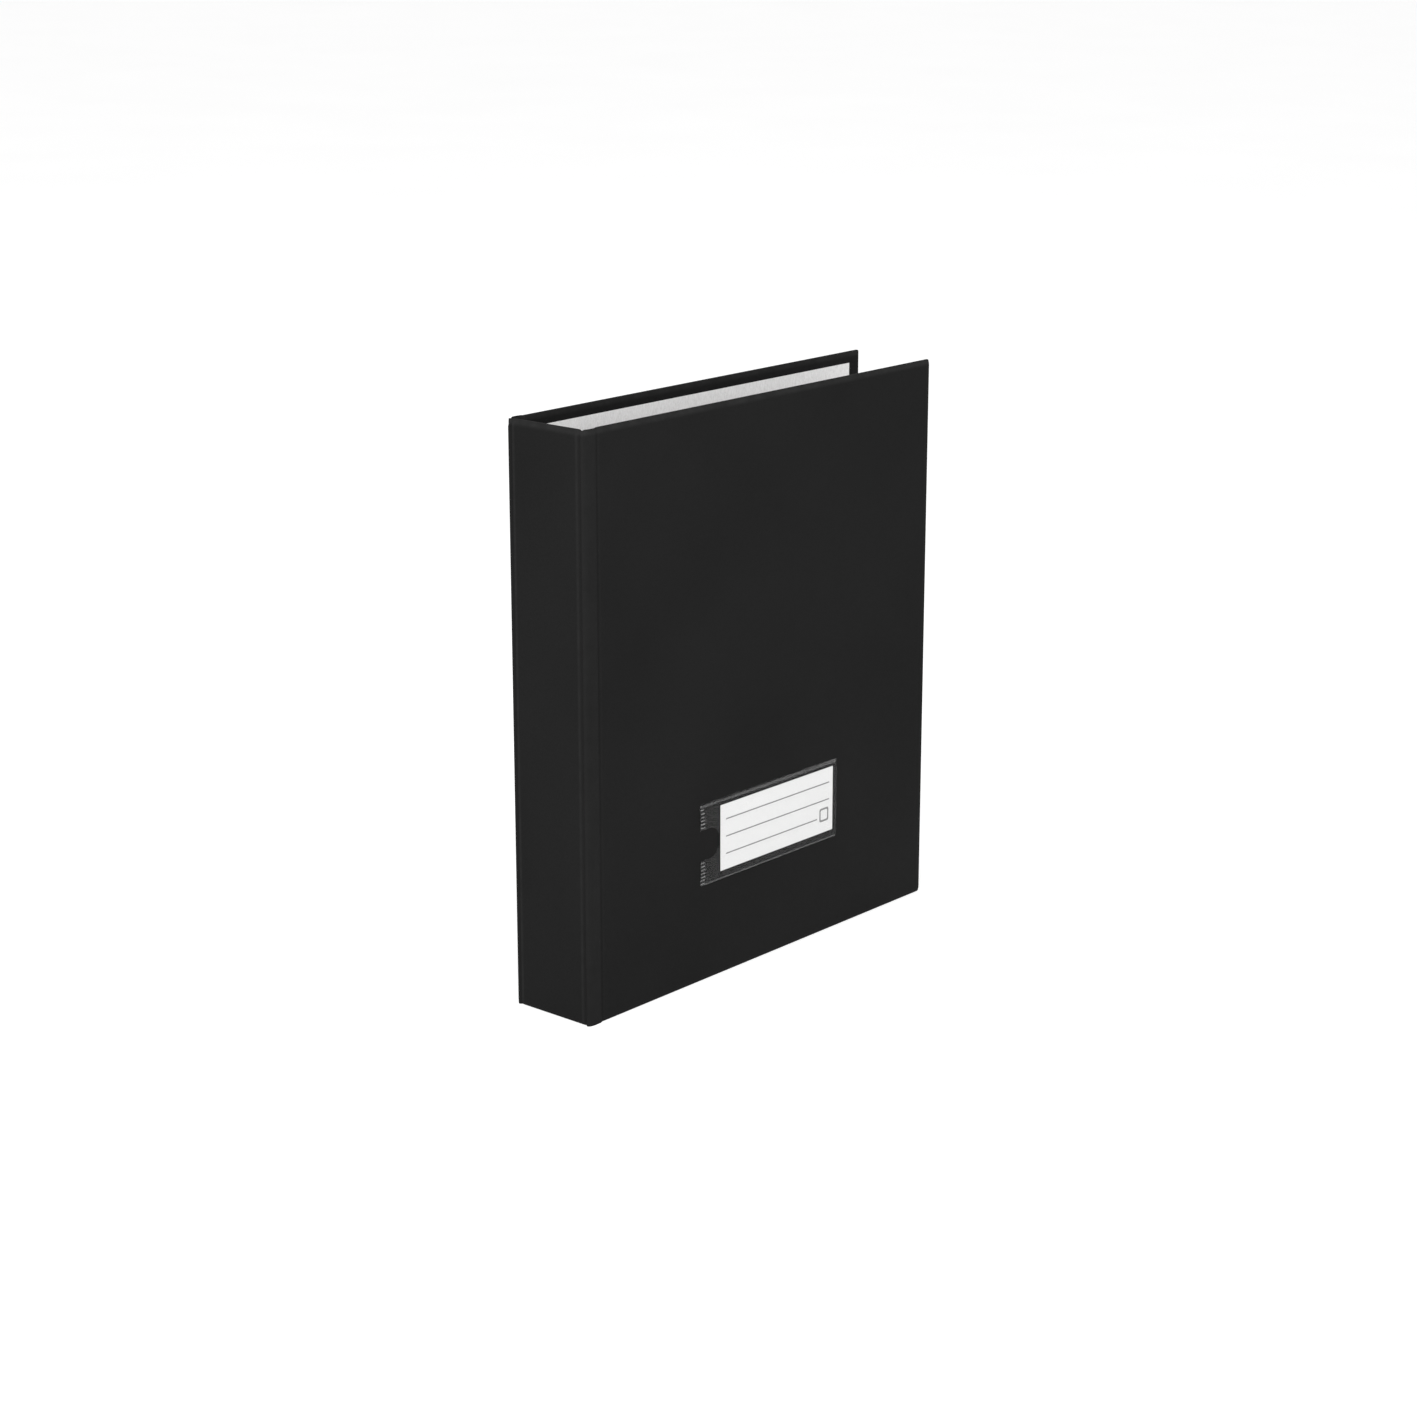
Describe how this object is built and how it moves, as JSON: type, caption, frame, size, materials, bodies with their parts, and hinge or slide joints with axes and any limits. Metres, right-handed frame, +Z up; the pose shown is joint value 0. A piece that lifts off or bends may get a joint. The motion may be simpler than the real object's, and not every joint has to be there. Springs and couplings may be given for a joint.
{
  "type": "ring binder",
  "caption": "Upright A4 ring binder: black case with a label pocket on the front cover and a D-ring mechanism riveted inside the back cover.",
  "frame": {"origin": "centre of the footprint on the surface that the binder stands on", "axes": "+Z up along the spine; the spine faces -X and the covers' free edges are at +X; the front cover faces -Y, and the back cover, which carries the rings, faces +Y"},
  "size_m": [0.286, 0.056, 0.318],
  "materials": {
    "black_covering": "satin black PVC leathercloth with a fine grain",
    "grey_lining": "light grey mottled lining paper",
    "greyboard": "greyboard",
    "clear_film": "clear PVC film",
    "label_card": "white card with three grey ruled lines",
    "nickel_plate": "nickel-plated steel"
  },
  "bodies": {
    "spine": {"spine_covering": "black_covering", "spine_board": "greyboard", "spine_lining": "grey_lining"},
    "front_hinge": {"front_hinge_strip": "black_covering"},
    "front_cover": {"front_cover_covering": "black_covering", "front_cover_board": "greyboard", "front_cover_lining": "grey_lining", "label_pocket": "clear_film"},
    "label": {"label_card": "label_card"},
    "back_hinge": {"back_hinge_strip": "black_covering"},
    "back_cover": {"back_cover_covering": "black_covering", "back_cover_board": "greyboard", "back_cover_lining": "grey_lining", "mechanism_housing": "nickel_plate", "upper_mounting_post": "nickel_plate", "lower_mounting_post": "nickel_plate", "upper_rivet": "nickel_plate", "lower_rivet": "nickel_plate", "upper_trigger_pin": "nickel_plate", "lower_trigger_pin": "nickel_plate"},
    "spine_side_rings": {"spine_side_ring_bar": "nickel_plate", "spine_side_ring_1": "nickel_plate", "spine_side_ring_2": "nickel_plate", "spine_side_ring_3": "nickel_plate", "spine_side_ring_4": "nickel_plate"},
    "edge_side_rings": {"edge_side_ring_bar": "nickel_plate", "edge_side_ring_1": "nickel_plate", "edge_side_ring_2": "nickel_plate", "edge_side_ring_3": "nickel_plate", "edge_side_ring_4": "nickel_plate"},
    "upper_trigger_lever": {"upper_trigger": "nickel_plate"},
    "lower_trigger_lever": {"lower_trigger": "nickel_plate"}
  },
  "joints": [
    {"name": "front_corner_fold", "type": "hinge", "parent": "spine", "child": "front_hinge", "pos_m": [-0.1427, -0.0267, 0.159], "axis": [0, 0, -1], "range_deg": [0, 90]},
    {"name": "front_cover_fold", "type": "hinge", "parent": "front_hinge", "child": "front_cover", "pos_m": [-0.1326, -0.027, 0.159], "axis": [0, 0, -1], "range_deg": [-4, 90]},
    {"name": "back_corner_fold", "type": "hinge", "parent": "spine", "child": "back_hinge", "pos_m": [-0.1427, 0.0267, 0.159], "axis": [0, 0, 1], "range_deg": [0, 90]},
    {"name": "back_cover_fold", "type": "hinge", "parent": "back_hinge", "child": "back_cover", "pos_m": [-0.1326, 0.027, 0.159], "axis": [0, 0, 1], "range_deg": [-4, 90]},
    {"name": "label_slide", "type": "slide", "parent": "front_cover", "child": "label", "axis": [-1, 0, 0], "range_m": [0, 0.092]},
    {"name": "spine_side_rings_open", "type": "hinge", "parent": "back_cover", "child": "spine_side_rings", "pos_m": [-0.1158, 0.0209, 0.159], "axis": [0, 0, -1], "range_deg": [0, 22]},
    {"name": "edge_side_rings_open", "type": "hinge", "parent": "back_cover", "child": "edge_side_rings", "pos_m": [-0.0942, 0.0209, 0.159], "axis": [0, 0, 1], "range_deg": [0, 22]},
    {"name": "upper_trigger_press", "type": "hinge", "parent": "back_cover", "child": "upper_trigger_lever", "pos_m": [-0.105, 0.0209, 0.294], "axis": [-1, 0, 0], "range_deg": [0, 19.5]},
    {"name": "lower_trigger_press", "type": "hinge", "parent": "back_cover", "child": "lower_trigger_lever", "pos_m": [-0.105, 0.0209, 0.024], "axis": [1, 0, 0], "range_deg": [0, 19.5]}
  ],
  "couplings": [
    {"joint": "edge_side_rings_open", "follows": "spine_side_rings_open", "ratio": 1},
    {"joint": "upper_trigger_press", "follows": "spine_side_rings_open", "ratio": 0.886},
    {"joint": "lower_trigger_press", "follows": "spine_side_rings_open", "ratio": 0.886}
  ]
}
